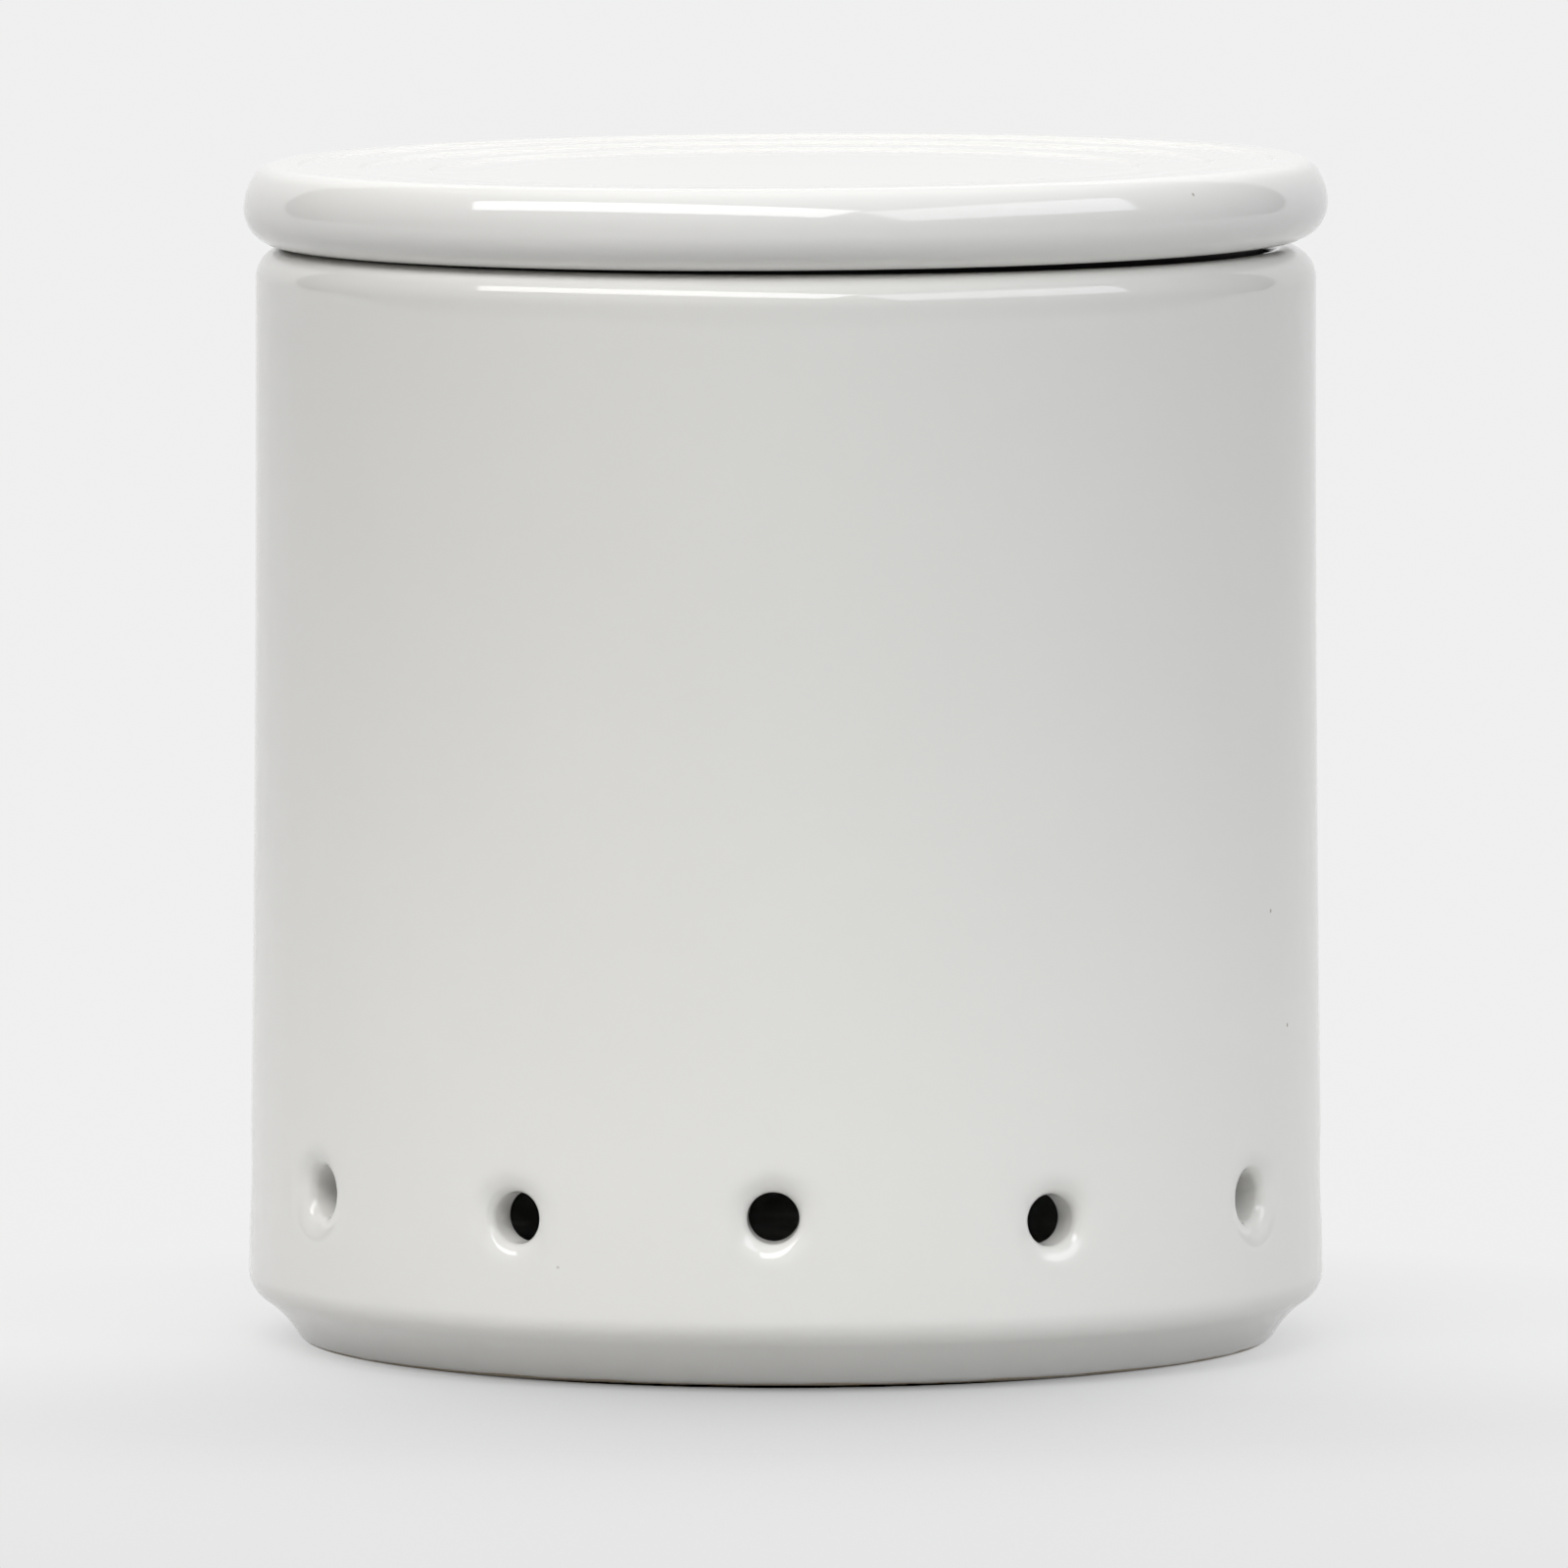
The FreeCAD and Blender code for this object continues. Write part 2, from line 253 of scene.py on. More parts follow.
sweep_round(underside)
sweep_round(upper)
sweep_round(lower_bore)
outer_rings = vent_rings(
    flank_radius, vent_band_low, vent_band_high, vent_mouth, vent_lip, 1, True
)
inner_rings = vent_rings(
    bore_at, inner_band_low, vent_band_high, vent_throat, vent_inner_lip, -1, False
)
faces += join_rows(outer_rings, closed=True)
faces += join_rows([row[::-1] for row in inner_rings], closed=True)

# Each vent narrows from its mouth to its throat, as the tapered piercing tool left it.
throat_steps = 6
throat_rows = [outer_rings[0]]
for step in range(1, throat_steps):
    row = []
    for near, far in zip(outer_rings[0], inner_rings[0]):
        share = step / throat_steps
        near_corner, far_corner = np.array(corners[near]), np.array(corners[far])
        middle = near_corner * (1 - share) + far_corner * share
        around = vent_mouth * (1 - share) + vent_throat * share
        fit = around / math.hypot(middle[0], middle[2] - vent_height)
        middle[0] *= fit
        middle[2] = vent_height + (middle[2] - vent_height) * fit
        corners.append(tuple(middle))
        row.append(len(corners) - 1)
    throat_rows.append(row)
throat_rows.append(inner_rings[0])
faces += join_rows(throat_rows, closed=True)

sector = bpy.data.meshes.new("crock_twelfth")
sector.from_pydata([tuple(MM * value for value in corner) for corner in corners], [], faces)


def glaze(name, pale, deep, seed, bare_below, ripple_height):
    """White glaze: a clear glossy skin over an off-white body, with faint cloudiness, a slow
    ripple and a few pinholes. Below the height bare_below, in metres, the clay is bare."""
    material = bpy.data.materials.new(name)
    material.use_nodes = True
    nodes, links = material.node_tree.nodes, material.node_tree.links
    shader = nodes["Principled BSDF"]
    shader.inputs["IOR"].default_value = 1.5
    place = nodes.new("ShaderNodeTexCoord")
    shift = nodes.new("ShaderNodeMapping")
    shift.inputs["Location"].default_value = (seed, seed * 0.7, seed * 0.3)
    links.new(place.outputs["Object"], shift.inputs["Vector"])

    cloud = nodes.new("ShaderNodeTexNoise")
    cloud.inputs["Scale"].default_value = 22
    cloud.inputs["Detail"].default_value = 3
    links.new(shift.outputs["Vector"], cloud.inputs["Vector"])
    tone = nodes.new("ShaderNodeMix")
    tone.data_type = "RGBA"
    tone.inputs["A"].default_value = (*deep, 1)
    tone.inputs["B"].default_value = (*pale, 1)
    links.new(cloud.outputs["Fac"], tone.inputs["Factor"])

    # Pinholes: a dot in the middle of some cells
    pinhole_rarity = 0.45
    cells = nodes.new("ShaderNodeTexVoronoi")
    cells.inputs["Scale"].default_value = 85
    links.new(shift.outputs["Vector"], cells.inputs["Vector"])
    dot = nodes.new("ShaderNodeMapRange")
    dot.inputs["From Min"].default_value = 0.010
    dot.inputs["From Max"].default_value = 0.026
    dot.inputs["To Min"].default_value = 1
    dot.inputs["To Max"].default_value = 0
    links.new(cells.outputs["Distance"], dot.inputs["Value"])
    luck = nodes.new("ShaderNodeSeparateColor")
    links.new(cells.outputs["Color"], luck.inputs["Color"])
    rare = nodes.new("ShaderNodeMath")
    rare.operation = "GREATER_THAN"
    rare.inputs[1].default_value = pinhole_rarity
    links.new(luck.outputs["Red"], rare.inputs[0])
    pinhole = nodes.new("ShaderNodeMath")
    pinhole.operation = "MULTIPLY"
    links.new(dot.outputs["Result"], pinhole.inputs[0])
    links.new(rare.outputs["Value"], pinhole.inputs[1])
    spotted = nodes.new("ShaderNodeMix")
    spotted.data_type = "RGBA"
    spotted.inputs["B"].default_value = (0.36, 0.32, 0.27, 1)
    links.new(pinhole.outputs["Value"], spotted.inputs["Factor"])
    links.new(tone.outputs["Result"], spotted.inputs["A"])

    # Bare clay below the glaze's edge, which wavers
    waver_height = 0.0006
    split = nodes.new("ShaderNodeSeparateXYZ")
    links.new(place.outputs["Object"], split.inputs["Vector"])
    waver = nodes.new("ShaderNodeTexNoise")
    waver.inputs["Scale"].default_value = 160
    links.new(place.outputs["Object"], waver.inputs["Vector"])
    level = nodes.new("ShaderNodeMath")
    level.operation = "MULTIPLY_ADD"
    level.inputs[1].default_value = waver_height
    level.inputs[2].default_value = bare_below - waver_height / 2
    links.new(waver.outputs["Fac"], level.inputs[0])
    bare = nodes.new("ShaderNodeMath")
    bare.operation = "LESS_THAN"
    links.new(split.outputs["Z"], bare.inputs[0])
    links.new(level.outputs["Value"], bare.inputs[1])
    clay = nodes.new("ShaderNodeTexNoise")
    clay.inputs["Scale"].default_value = 900
    clay.inputs["Detail"].default_value = 4
    links.new(place.outputs["Object"], clay.inputs["Vector"])
    clay_tone = nodes.new("ShaderNodeMix")
    clay_tone.data_type = "RGBA"
    clay_tone.inputs["A"].default_value = (0.50, 0.42, 0.32, 1)
    clay_tone.inputs["B"].default_value = (0.66, 0.58, 0.47, 1)
    links.new(clay.outputs["Fac"], clay_tone.inputs["Factor"])
    colour = nodes.new("ShaderNodeMix")
    colour.data_type = "RGBA"
    links.new(bare.outputs["Value"], colour.inputs["Factor"])
    links.new(spotted.outputs["Result"], colour.inputs["A"])
    links.new(clay_tone.outputs["Result"], colour.inputs["B"])
    links.new(colour.outputs["Result"], shader.inputs["Base Color"])

    # Gloss, dull on the bare clay, and the ripple
    gloss = nodes.new("ShaderNodeMapRange")
    gloss.inputs["To Min"].default_value = 0.045
    gloss.inputs["To Max"].default_value = 0.065
    links.new(cloud.outputs["Fac"], gloss.inputs["Value"])
    roughness = nodes.new("ShaderNodeMix")
    roughness.data_type = "FLOAT"
    roughness.inputs["B"].default_value = 0.85
    links.new(bare.outputs["Value"], roughness.inputs["Factor"])
    links.new(gloss.outputs["Result"], roughness.inputs["A"])
    links.new(roughness.outputs["Result"], shader.inputs["Roughness"])

    ripple = nodes.new("ShaderNodeTexNoise")
    ripple.inputs["Scale"].default_value = 190
    ripple.inputs["Detail"].default_value = 2
    links.new(shift.outputs["Vector"], ripple.inputs["Vector"])
    sink = nodes.new("ShaderNodeMath")
    sink.operation = "SUBTRACT"
    links.new(ripple.outputs["Fac"], sink.inputs[0])
    links.new(pinhole.outputs["Value"], sink.inputs[1])
    bump = nodes.new("ShaderNodeBump")
    bump.inputs["Strength"].default_value = 0.35
    bump.inputs["Distance"].default_value = ripple_height
    links.new(sink.outputs["Value"], bump.inputs["Height"])
    links.new(bump.outputs["Normal"], shader.inputs["Normal"])
    return material


crock_glaze = glaze(
    "crock_glaze",
    pale=(0.84, 0.83, 0.80),
    deep=(0.80, 0.79, 0.76),
    seed=1.3,
    bare_below=0.00035,
    ripple_height=0.000008,
)


def repeat_tree(material):
    """Geometry Nodes that turn the twelfth with its one vent into the whole round crock."""
    tree = bpy.data.node_groups.new("crock_round", "GeometryNodeTree")
    sockets = tree.interface
    sockets.new_socket("Twelfth", in_out="INPUT", socket_type="NodeSocketGeometry")
    sockets.new_socket("Vent Count", in_out="INPUT", socket_type="NodeSocketInt")
    sockets.new_socket("Seam Reach", in_out="INPUT", socket_type="NodeSocketFloat")
    sockets.new_socket("Crock", in_out="OUTPUT", socket_type="NodeSocketGeometry")
    nodes, links = tree.nodes, tree.links
    given = nodes.new("NodeGroupInput")
    points = nodes.new("GeometryNodePoints")
    links.new(given.outputs["Vent Count"], points.inputs["Count"])
    number = nodes.new("GeometryNodeInputIndex")
    share = nodes.new("ShaderNodeMath")
    share.operation = "DIVIDE"
    links.new(number.outputs["Index"], share.inputs[0])
    links.new(given.outputs["Vent Count"], share.inputs[1])
    turn = nodes.new("ShaderNodeMath")
    turn.operation = "MULTIPLY"
    turn.inputs[1].default_value = math.tau
    links.new(share.outputs["Value"], turn.inputs[0])
    about = nodes.new("ShaderNodeCombineXYZ")
    links.new(turn.outputs["Value"], about.inputs["Z"])
    rotation = nodes.new("FunctionNodeEulerToRotation")
    links.new(about.outputs["Vector"], rotation.inputs["Euler"])
    copies = nodes.new("GeometryNodeInstanceOnPoints")
    links.new(points.outputs["Points"], copies.inputs["Points"])
    links.new(given.outputs["Twelfth"], copies.inputs["Instance"])
    links.new(rotation.outputs["Rotation"], copies.inputs["Rotation"])
    real = nodes.new("GeometryNodeRealizeInstances")
    links.new(copies.outputs["Instances"], real.inputs["Geometry"])
    seams = nodes.new("GeometryNodeMergeByDistance")
    links.new(real.outputs["Geometry"], seams.inputs["Geometry"])
    links.new(given.outputs["Seam Reach"], seams.inputs["Distance"])
    smooth = nodes.new("GeometryNodeSetShadeSmooth")
    links.new(seams.outputs["Geometry"], smooth.inputs["Geometry"])
    finish = nodes.new("GeometryNodeSetMaterial")
    finish.inputs["Material"].default_value = material
    links.new(smooth.outputs["Geometry"], finish.inputs["Geometry"])
    result = nodes.new("NodeGroupOutput")
    links.new(finish.outputs["Geometry"], result.inputs["Crock"])
    return tree


def socket_id(tree, name):
    """The identifier by which a modifier knows one of the tree's inputs."""
    return next(item.identifier for item in tree.interface.items_tree if item.name == name)


def closed_outwards(mesh):
    """Turns every face of a closed mesh outwards."""
    shape = bmesh.new()
    shape.from_mesh(mesh)
    bmesh.ops.recalc_face_normals(shape, faces=shape.faces)
    if shape.calc_volume(signed=True) < 0:
        bmesh.ops.reverse_faces(shape, faces=shape.faces)
    shape.to_mesh(mesh)
    shape.free()


crock_round = repeat_tree(crock_glaze)
crock = bpy.data.objects.new("crock_body", sector)
bpy.context.scene.collection.objects.link(crock)
turning = crock.modifiers.new("round", "NODES")
turning.node_group = crock_round
turning[socket_id(crock_round, "Vent Count")] = vent_count
turning[socket_id(crock_round, "Seam Reach")] = seam_reach * MM
shown = crock.evaluated_get(bpy.context.evaluated_depsgraph_get())
crock_mesh = bpy.data.meshes.new_from_object(shown)
crock.modifiers.remove(turning)
crock.data = crock_mesh
closed_outwards(crock_mesh)

# The vents were pierced by hand, so each is a little off its even place: degrees round the
# crock and mm up, from the front vent on towards +X. The wall goes with them, and the rise fades
# out below and above them, so that the foot and the rim stay level.
vent_drift = (-1.2, 0.05, 0.55, -0.3, 0.4, -0.2, 0.5, 0.1, -0.5, 0.2, -0.1, -0.2)
vent_rise = (0.45, -0.4, 0.0, 0.2, -0.3, 0.1, 0.3, -0.2, 0.0, -0.1, 0.5, -0.2)
axis_reach = 1
wall_reach = 46
rise_starts, rise_full = 8.0, 12.0
rise_fades, rise_ends = 25.0, 45.0


def between(values, turn):
    """A smooth value between those of the two nearest vents."""
    place = turn / (2 * half_turn)
    before = math.floor(place)
    share = place - before
    share = share * share * (3 - 2 * share)
    count = len(values)
    return values[before % count] * (1 - share) + values[(before + 1) % count] * share


for vertex in crock_mesh.vertices:
    x, y, z = (value / MM for value in vertex.co)
    reach = math.hypot(x, y)
    if reach < axis_reach:
        continue
    turn = math.atan2(x, -y)
    if reach > wall_reach:
        low_share = min(1.0, max(0.0, (z - rise_starts) / (rise_full - rise_starts)))
        high_share = min(1.0, max(0.0, (rise_ends - z) / (rise_ends - rise_fades)))
        z += between(vent_rise, turn) * low_share * high_share
    turn += math.radians(between(vent_drift, turn))
    vertex.co = (MM * reach * math.sin(turn), -MM * reach * math.cos(turn), MM * z)
crock_mesh.update()
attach(crock, "crock")
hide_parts("crock")

# Lid. A thick turned disc of the same stoneware with a full round edge and three shallow steps
# down to its middle. A hollow plug below drops into the crock, and the whole lid sits a hair
# askew on its gasket, higher at the right.

crown_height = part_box("lid")[1].z / MM
lid_overhang = 1.2
lid_radius = rim_radius + lid_overhang
lid_gap = 0.4
lid_under_round = 3.75
lid_side_round = 5.8
lid_side_turn = 37.0
lid_crown_round = 2.5
ring_steps = (49.4, 43.1, 35.9)
terrace_middles = (46.45, 39.7, 29.65)
ring_drop = 0.33
ring_round = 0.8
lid_thickness = 4.5
plug_clearance = 2.7
plug_radius = bore_radius - plug_clearance
plug_wall = 4.4
plug_depth = 11.0
plug_round = 0.9
plug_foot = 2.4
groove_depth = 1.1
groove_edge = 0.15
groove_row = 0.2
seat_inner_row = 0.3
seat_outer_row = 48.5
lid_tilt = 0.38

seat_height = rim_height + lid_gap
lid_edge_height = seat_height + lid_under_round
side_centre = (lid_radius - lid_side_round, lid_edge_height)
crown_reach = lid_side_round - lid_crown_round
crown_centre = (
    side_centre[0] + crown_reach * math.cos(math.radians(lid_side_turn)),
    side_centre[1] + crown_reach * math.sin(math.radians(lid_side_turn)),
)
centre_top = crown_height - len(ring_steps) * ring_drop
ceiling_height = centre_top - lid_thickness
plug_bottom = seat_height - plug_depth
plug_inner = plug_radius - plug_wall
groove_radius = plug_radius - groove_depth
groove_bottom = plug_bottom + plug_foot


def corner_round(x, z, radius, start, stop, steps=4):
    """A small round in place of the corner at (x, z)."""
    middle = math.radians((start + stop) / 2)
    reach = radius * math.sqrt(2)
    centre = (x - reach * math.cos(middle), z - reach * math.sin(middle))
    return arc_points(centre, radius, start, stop, steps)


def ring_step(radius, top):
    """One soft step down towards the middle of the lid: a round edge, then a hollow one."""
    turn = math.degrees(math.acos(1 - ring_drop / (2 * ring_round)))
    half_run = ring_round * math.sin(math.radians(turn))
    edge = arc_points((radius + half_run, top - ring_round), ring_round, 90, 90 + turn, 4)
    hollow_centre = (radius - half_run, top - ring_drop + ring_round)
    hollow = arc_points(hollow_centre, ring_round, turn - 90, -90, 4)
    return edge + hollow[1:]


# From the middle of the ceiling inside the plug, down and up the plug, round the edge and in over
# the steps to the middle of the top
lid_outline = [(radius, ceiling_height) for radius in (0, 14, 28)]
lid_outline += corner_round(plug_inner, ceiling_height, plug_round, 90, 0)
lid_outline += [(plug_inner, 0.5 * (ceiling_height + plug_bottom))]
plug_inner_centre = (plug_inner + plug_round, plug_bottom + plug_round)
lid_outline += arc_points(plug_inner_centre, plug_round, 180, 270, 4)
plug_outer_centre = (plug_radius - plug_round, plug_bottom + plug_round)
lid_outline += arc_points(plug_outer_centre, plug_round, 270, 360, 4)
lid_outline += [(plug_radius, groove_bottom - groove_edge)]
lid_outline += [(plug_radius - groove_edge, groove_bottom), (groove_radius, groove_bottom)]
lid_outline += [(groove_radius, groove_bottom + groove_row)]
lid_outline += [(groove_radius, seat_height - groove_row), (groove_radius, seat_height)]
lid_outline += [(groove_radius + seat_inner_row, seat_height), (seat_outer_row, seat_height)]
under_centre = (lid_radius - lid_under_round, lid_edge_height)
lid_outline += arc_points(under_centre, lid_under_round, -90, 0, 16)
lid_outline += arc_points(side_centre, lid_side_round, 0, lid_side_turn, 10)[1:]
lid_outline += arc_points(crown_centre, lid_crown_round, lid_side_turn, 90, 8)[1:]
for number, (ring_radius, terrace_middle) in enumerate(zip(ring_steps, terrace_middles)):
    lid_outline += ring_step(ring_radius, crown_height - number * ring_drop)
    lid_outline += [(terrace_middle, crown_height - (number + 1) * ring_drop)]
lid_outline += [(radius, centre_top) for radius in (16, 8, 0)]


def turned_piece(name, outline, material, around=240):
    """A closed shape made by turning an outline once round the Z axis."""
    points = []
    rows = []
    for radius, height in outline:
        if radius == 0:
            points.append((0, 0, height))
            rows.append([len(points) - 1] * around)
            continue
        start = len(points)
        for step in range(around):
            turn = math.tau * step / around
            points.append((radius * math.sin(turn), -radius * math.cos(turn), height))
        rows.append(list(range(start, start + around)))
    if outline[0][0] > 0:
        rows.append(rows[0])
    mesh = bpy.data.meshes.new(name)
    placed = [tuple(MM * value for value in point) for point in points]
    mesh.from_pydata(placed, [], join_rows(rows, closed=True))
    closed_outwards(mesh)
    mesh.polygons.foreach_set("use_smooth", [True] * len(mesh.polygons))
    mesh.materials.append(material)
    piece = bpy.data.objects.new(name, mesh)
    bpy.context.scene.collection.objects.link(piece)
    return piece


def settle(piece):
    """Tips a piece of the lid by the small angle at which the lid sits."""
    lean = math.tan(math.radians(lid_tilt))
    for vertex in piece.data.vertices:
        x, z = vertex.co.x, vertex.co.z - seat_height * MM
        vertex.co.z += x * lean
        vertex.co.x -= z * lean
    piece.data.update()


# The lid's glaze is painted paler than the crock's same glaze, a painted lightening for the
# stronger light on the lid's top
lid_glaze = glaze(
    "lid_glaze",
    pale=(0.875, 0.865, 0.84),
    deep=(0.84, 0.83, 0.805),
    seed=4.1,
    bare_below=0.0,
    ripple_height=0.000002,
)
lid = turned_piece("lid_disc", lid_outline, lid_glaze)
settle(lid)
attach(lid, "lid")
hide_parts("lid")

# Gasket. A dark silicone ring stretched into the groove of the plug. Its collar shows in the
# gap under the lid, and its two fins bend lightly against the crock's bore.

gasket_fit = 0.1
sleeve_wall = 1.5
collar_clearance = 0.9
collar_thickness = 1.3
fin_clearance = 0.25
fin_pitch = 2.9
fin_root = 1.5
fin_tip = 0.5
fin_rise = 0.4
gasket_edge = 0.15

sleeve_inner = groove_radius + gasket_fit
sleeve_outer = sleeve_inner + sleeve_wall
sleeve_bottom = groove_bottom + gasket_fit
collar_radius = bore_radius - collar_clearance
collar_bottom = seat_height - collar_thickness
fin_radius = bore_radius - fin_clearance

gasket_outline = [(sleeve_inner, seat_height - gasket_edge)]
gasket_outline += [(sleeve_inner, sleeve_bottom + gasket_edge)]
gasket_outline += corner_round(sleeve_inner, sleeve_bottom, gasket_edge, 180, 270, 2)
gasket_outline += corner_round(sleeve_outer, sleeve_bottom, gasket_edge, 270, 360, 2)
for number in (2, 1):
    root_middle = collar_bottom - fin_pitch * number + fin_root / 2
    tip_middle = root_middle + fin_rise
    gasket_outline += [(sleeve_outer, root_middle - fin_root / 2)]
    gasket_outline += corner_round(fin_radius, tip_middle - fin_tip / 2, gasket_edge, 270, 360, 2)
    gasket_outline += corner_round(fin_radius, tip_middle + fin_tip / 2, gasket_edge, 0, 90, 2)
    gasket_outline += [(sleeve_outer, root_middle + fin_root / 2)]
gasket_outline += [(sleeve_outer, collar_bottom)]
gasket_outline += corner_round(collar_radius, collar_bottom, gasket_edge, 270, 360, 2)
gasket_outline += corner_round(collar_radius, seat_height, gasket_edge, 0, 90, 2)
gasket_outline += corner_round(sleeve_inner, seat_height, gasket_edge, 90, 180, 2)[:-1]

silicone = bpy.data.materials.new("gasket_silicone")
silicone.use_nodes = True
silicone_nodes, silicone_links = silicone.node_tree.nodes, silicone.node_tree.links
rubber = silicone_nodes["Principled BSDF"]
rubber.inputs["IOR"].default_value = 1.42
rubber_place = silicone_nodes.new("ShaderNodeTexCoord")
rubber_grain = silicone_nodes.new("ShaderNodeTexNoise")
rubber_grain.inputs["Scale"].default_value = 1400
rubber_grain.inputs["Detail"].default_value = 3
rubber_tone = silicone_nodes.new("ShaderNodeMix")
rubber_tone.data_type = "RGBA"
rubber_tone.inputs["A"].default_value = (0.014, 0.013, 0.012, 1)
rubber_tone.inputs["B"].default_value = (0.022, 0.020, 0.019, 1)
rubber_matt = silicone_nodes.new("ShaderNodeMapRange")
rubber_matt.inputs["To Min"].default_value = 0.5
rubber_matt.inputs["To Max"].default_value = 0.66
rubber_bump = silicone_nodes.new("ShaderNodeBump")
rubber_bump.inputs["Strength"].default_value = 0.4
rubber_bump.inputs["Distance"].default_value = 0.00003
silicone_links.new(rubber_place.outputs["Object"], rubber_grain.inputs["Vector"])
silicone_links.new(rubber_grain.outputs["Fac"], rubber_tone.inputs["Factor"])
silicone_links.new(rubber_tone.outputs["Result"], rubber.inputs["Base Color"])
silicone_links.new(rubber_grain.outputs["Fac"], rubber_matt.inputs["Value"])
silicone_links.new(rubber_matt.outputs["Result"], rubber.inputs["Roughness"])
silicone_links.new(rubber_grain.outputs["Fac"], rubber_bump.inputs["Height"])
silicone_links.new(rubber_bump.outputs["Normal"], rubber.inputs["Normal"])

gasket = turned_piece("gasket_ring", gasket_outline, silicone, around=192)
settle(gasket)
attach(gasket, "lid")
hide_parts("lid_gasket")

# Studio. A pale sweep of matt paper that curves up behind the keeper. The lamps' own shade is
# seen only near the foot. The rest of the shade is a painted shadow in the paper's glow, where the
# keeper covers it, and is deepest in front.

sweep_front = -5.0
sweep_back = 5.0
sweep_side = 5.0
sweep_top = 5.0
sweep_bend = 1.5
bend_steps = 16

# The paper lies a hair below the foot ring, because faces in one plane flicker
paper_sink = 0.00005

paper_line = [(sweep_front, 0.0), (-1.0, 0.0), (0.0, 0.0), (sweep_back - sweep_bend, 0.0)]
for step in range(1, bend_steps + 1):
    bend = math.pi / 2 * step / bend_steps
    back = sweep_back - sweep_bend + sweep_bend * math.sin(bend)
    paper_line.append((back, sweep_bend * (1 - math.cos(bend))))
paper_line.append((sweep_back, sweep_top))
paper_points = [
    (side, y, z - paper_sink) for y, z in paper_line for side in (-sweep_side, sweep_side)
]
paper_faces = [
    (2 * row, 2 * row + 1, 2 * row + 3, 2 * row + 2) for row in range(len(paper_line) - 1)
]
paper_mesh = bpy.data.meshes.new("studio_paper")
paper_mesh.from_pydata(paper_points, [], paper_faces)
paper_mesh.polygons.foreach_set("use_smooth", [True] * len(paper_mesh.polygons))
paper = bpy.data.objects.new("studio_paper", paper_mesh)
bpy.context.scene.collection.objects.link(paper)

paper_look = bpy.data.materials.new("studio_paper")
paper_look.use_nodes = True
paper_nodes, paper_links = paper_look.node_tree.nodes, paper_look.node_tree.links
paper_nodes.clear()
paper_out = paper_nodes.new("ShaderNodeOutputMaterial")
paper_rays = paper_nodes.new("ShaderNodeLightPath")
paper_spot = paper_nodes.new("ShaderNodeTexCoord")
paper_reach = paper_nodes.new("ShaderNodeVectorMath")
paper_reach.operation = "LENGTH"
paper_links.new(paper_spot.outputs["Object"], paper_reach.inputs[0])


def paper_range(source, start, stop, first, last):
    """A straight change from first to last while a measure goes from start to stop."""
    change = paper_nodes.new("ShaderNodeMapRange")
    change.inputs["From Min"].default_value = start
    change.inputs["From Max"].default_value = stop
    change.inputs["To Min"].default_value = first
    change.inputs["To Max"].default_value = last
    paper_links.new(source, change.inputs["Value"])
    return change.outputs["Result"]


def paper_maths(operation, first, second):
    """One step of arithmetic on two sockets, or on a socket and a plain number."""
    step = paper_nodes.new("ShaderNodeMath")
    step.operation = operation
    for socket, value in zip(step.inputs, (first, second)):
        if isinstance(value, (int, float)):
            socket.default_value = value
        else:
            paper_links.new(value, socket)
    return step.outputs["Value"]


# Light that the paper throws on the keeper, painted into its colour for all but camera rays: most
# from a ring round the foot, less at the foot itself as painted shade, little from afar
distance = paper_reach.outputs["Value"]
paper_near = paper_range(distance, start=0.048, stop=0.11, first=0.54, last=0.92)
paper_far = paper_range(distance, start=0.11, stop=0.28, first=1.0, last=0.06)
paper_matt = paper_nodes.new("ShaderNodeBsdfDiffuse")
paper_colour = paper_nodes.new("ShaderNodeMix")
paper_colour.data_type = "RGBA"
paper_colour.inputs["B"].default_value = (0.80, 0.80, 0.80, 1)
paper_links.new(paper_rays.outputs["Is Camera Ray"], paper_colour.inputs["Factor"])
paper_links.new(paper_maths("MULTIPLY", paper_near, paper_far), paper_colour.inputs["A"])
paper_links.new(paper_colour.outputs["Result"], paper_matt.inputs["Color"])

# How the paper looks: an even glow, with a painted shadow of the keeper where the keeper covers
# the room from it, deepest in front
paper_cover = paper_nodes.new("ShaderNodeAmbientOcclusion")
paper_cover.samples = 16
paper_cover.inputs["Distance"].default_value = 0.25
paper_axes = paper_nodes.new("ShaderNodeSeparateXYZ")
paper_links.new(paper_spot.outputs["Object"], paper_axes.inputs["Vector"])
paper_front = paper_maths("DIVIDE", paper_maths("MULTIPLY", paper_axes.outputs["Y"], -1), distance)
paper_front = paper_maths("MAXIMUM", paper_front, 0)
paper_front = paper_maths("MULTIPLY", paper_front, paper_front)
paper_weight = paper_range(paper_front, start=0, stop=1, first=0.03, last=1.3)
paper_dark = paper_maths("SUBTRACT", 1, paper_cover.outputs["AO"])
painted_paper_shadow = paper_maths("SUBTRACT", 1, paper_maths("MULTIPLY", paper_dark, paper_weight))
# Painted shade: the glow is a little darker from 0.13 m to 0.21 m in front of the keeper
painted_front_falloff = paper_range(paper_axes.outputs["Y"], start=-0.13, stop=-0.21, first=1.0, last=0.945)
paper_glow = paper_nodes.new("ShaderNodeEmission")
paper_glow.inputs["Color"].default_value = (0.868, 0.868, 0.868, 1)
paper_links.new(paper_maths("MULTIPLY", painted_paper_shadow, painted_front_falloff), paper_glow.inputs["Strength"])
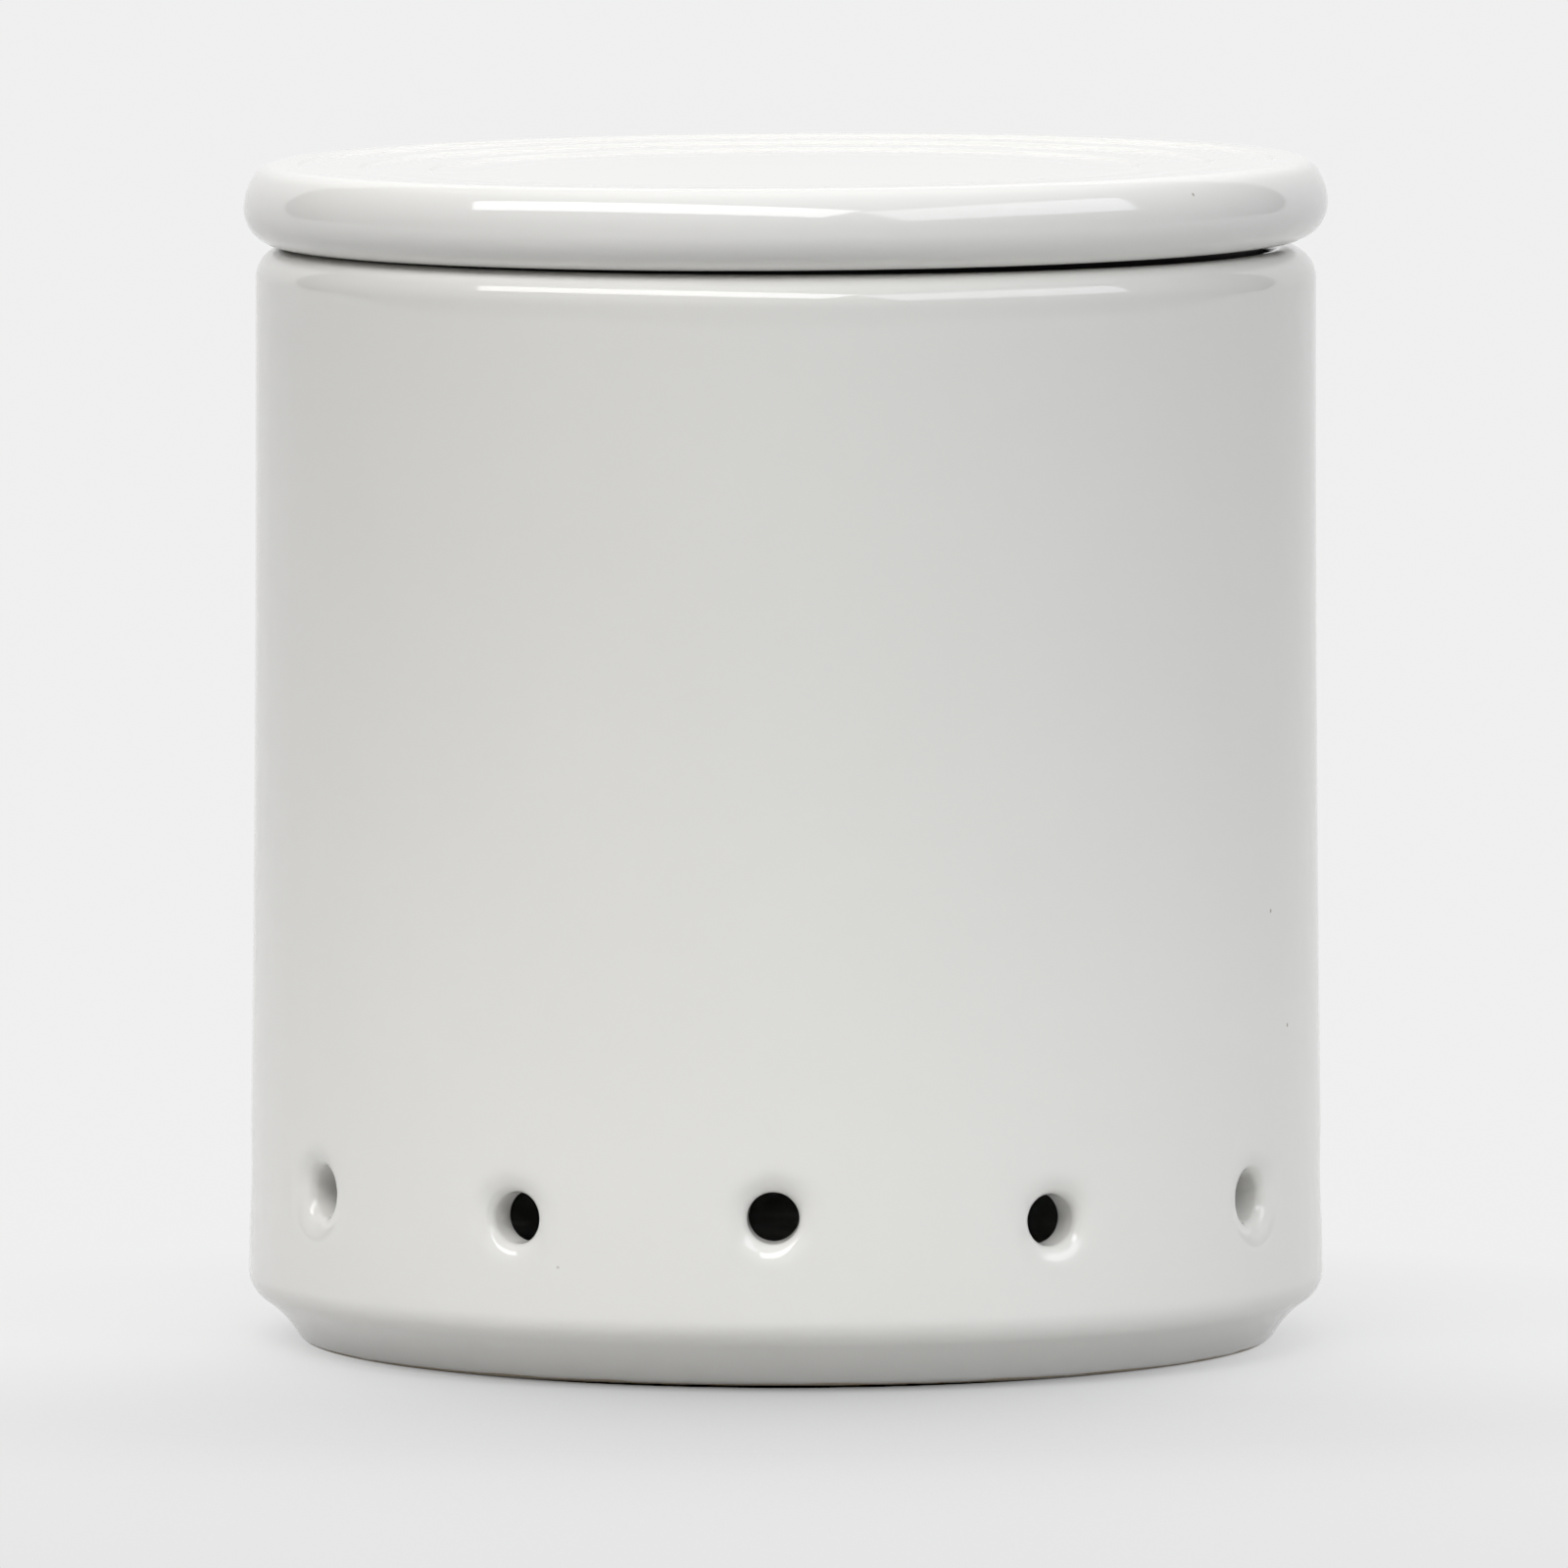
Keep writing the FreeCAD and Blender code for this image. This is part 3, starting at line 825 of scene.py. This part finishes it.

# How much of the painted glow is seen, where the rest is the matt paper with the lamps' own shade
paper_even = paper_range(distance, start=0.050, stop=0.110, first=0.65, last=1.0)
paper_shown = paper_maths(
    "MAXIMUM", paper_rays.outputs["Is Camera Ray"], paper_rays.outputs["Is Glossy Ray"]
)
paper_mix = paper_nodes.new("ShaderNodeMixShader")
paper_links.new(paper_maths("MULTIPLY", paper_shown, paper_even), paper_mix.inputs["Fac"])
paper_links.new(paper_matt.outputs["BSDF"], paper_mix.inputs[1])
paper_links.new(paper_glow.outputs["Emission"], paper_mix.inputs[2])
paper_links.new(paper_mix.outputs["Shader"], paper_out.inputs["Surface"])
paper_mesh.materials.append(paper_look)

# Light. An even pale room, a wide bank at the upper left whose reflection is the bright strip
# on the lid and rim, a dimmer, cooler one at the upper right, and a broad panel above and
# behind, which shows in no reflection.

world = bpy.data.worlds.new("studio_room")
bpy.context.scene.world = world
world.use_nodes = True
room = world.node_tree.nodes["Background"]
room.inputs["Color"].default_value = (1.0, 1.0, 1.0, 1)
room.inputs["Strength"].default_value = 0.17
aim_height = 0.06


def bank(name, azimuth, elevation, distance, width, height, radiance):
    """A rectangular soft light aimed at the keeper, by direction and by how bright it looks."""
    lamp = bpy.data.lights.new(name, "AREA")
    lamp.shape = "RECTANGLE"
    lamp.size = width
    lamp.size_y = height
    lamp.energy = radiance * math.pi * width * height
    holder = bpy.data.objects.new(name, lamp)
    bpy.context.scene.collection.objects.link(holder)
    turn, rise = math.radians(azimuth), math.radians(elevation)
    holder.location = (
        distance * math.sin(turn) * math.cos(rise),
        -distance * math.cos(turn) * math.cos(rise),
        distance * math.sin(rise) + aim_height,
    )
    holder.rotation_euler = (math.pi / 2 - rise, 0, turn)
    return holder


bank("bank_left", azimuth=-34, elevation=49, distance=1.5, width=2.1, height=0.47, radiance=5.85)
right_lamp = bank(
    "bank_right", azimuth=54, elevation=36, distance=1.5, width=1.5, height=0.59, radiance=3.05
)
right_lamp.data.color = (0.93, 0.965, 1.0)
over_lamp = bank(
    "bank_over", azimuth=180, elevation=64, distance=1.8, width=2.6, height=1.3, radiance=1.5
)
over_lamp.visible_glossy = False

# Camera. A long lens from 2.4 m that looks slightly down, so that the lid's top shows as a thin
# ellipse. The picture's scale and the column of the keeper's axis are in pixels of its width.

picture_width = 1600
pixels_per_metre = 10040
axis_column = 802
view_distance = 2.4
view_height = 0.2503
view_pitch = 4.62
view_turn = 0.2

camera = bpy.data.cameras.new("camera")
camera.sensor_width = 36
focal_pixels = pixels_per_metre * view_distance / math.cos(math.radians(view_pitch))
camera.lens = focal_pixels / picture_width * camera.sensor_width
camera.shift_x = (picture_width / 2 - axis_column) / picture_width
camera.clip_start = 0.1
camera.clip_end = 30
viewer = bpy.data.objects.new("camera", camera)
bpy.context.scene.collection.objects.link(viewer)
viewer.location = (
    view_distance * math.sin(math.radians(view_turn)),
    -view_distance * math.cos(math.radians(view_turn)),
    view_height,
)
viewer.rotation_euler = (math.radians(90 - view_pitch), 0, math.radians(view_turn))
bpy.context.scene.camera = viewer
bpy.context.scene.view_settings.view_transform = "Standard"
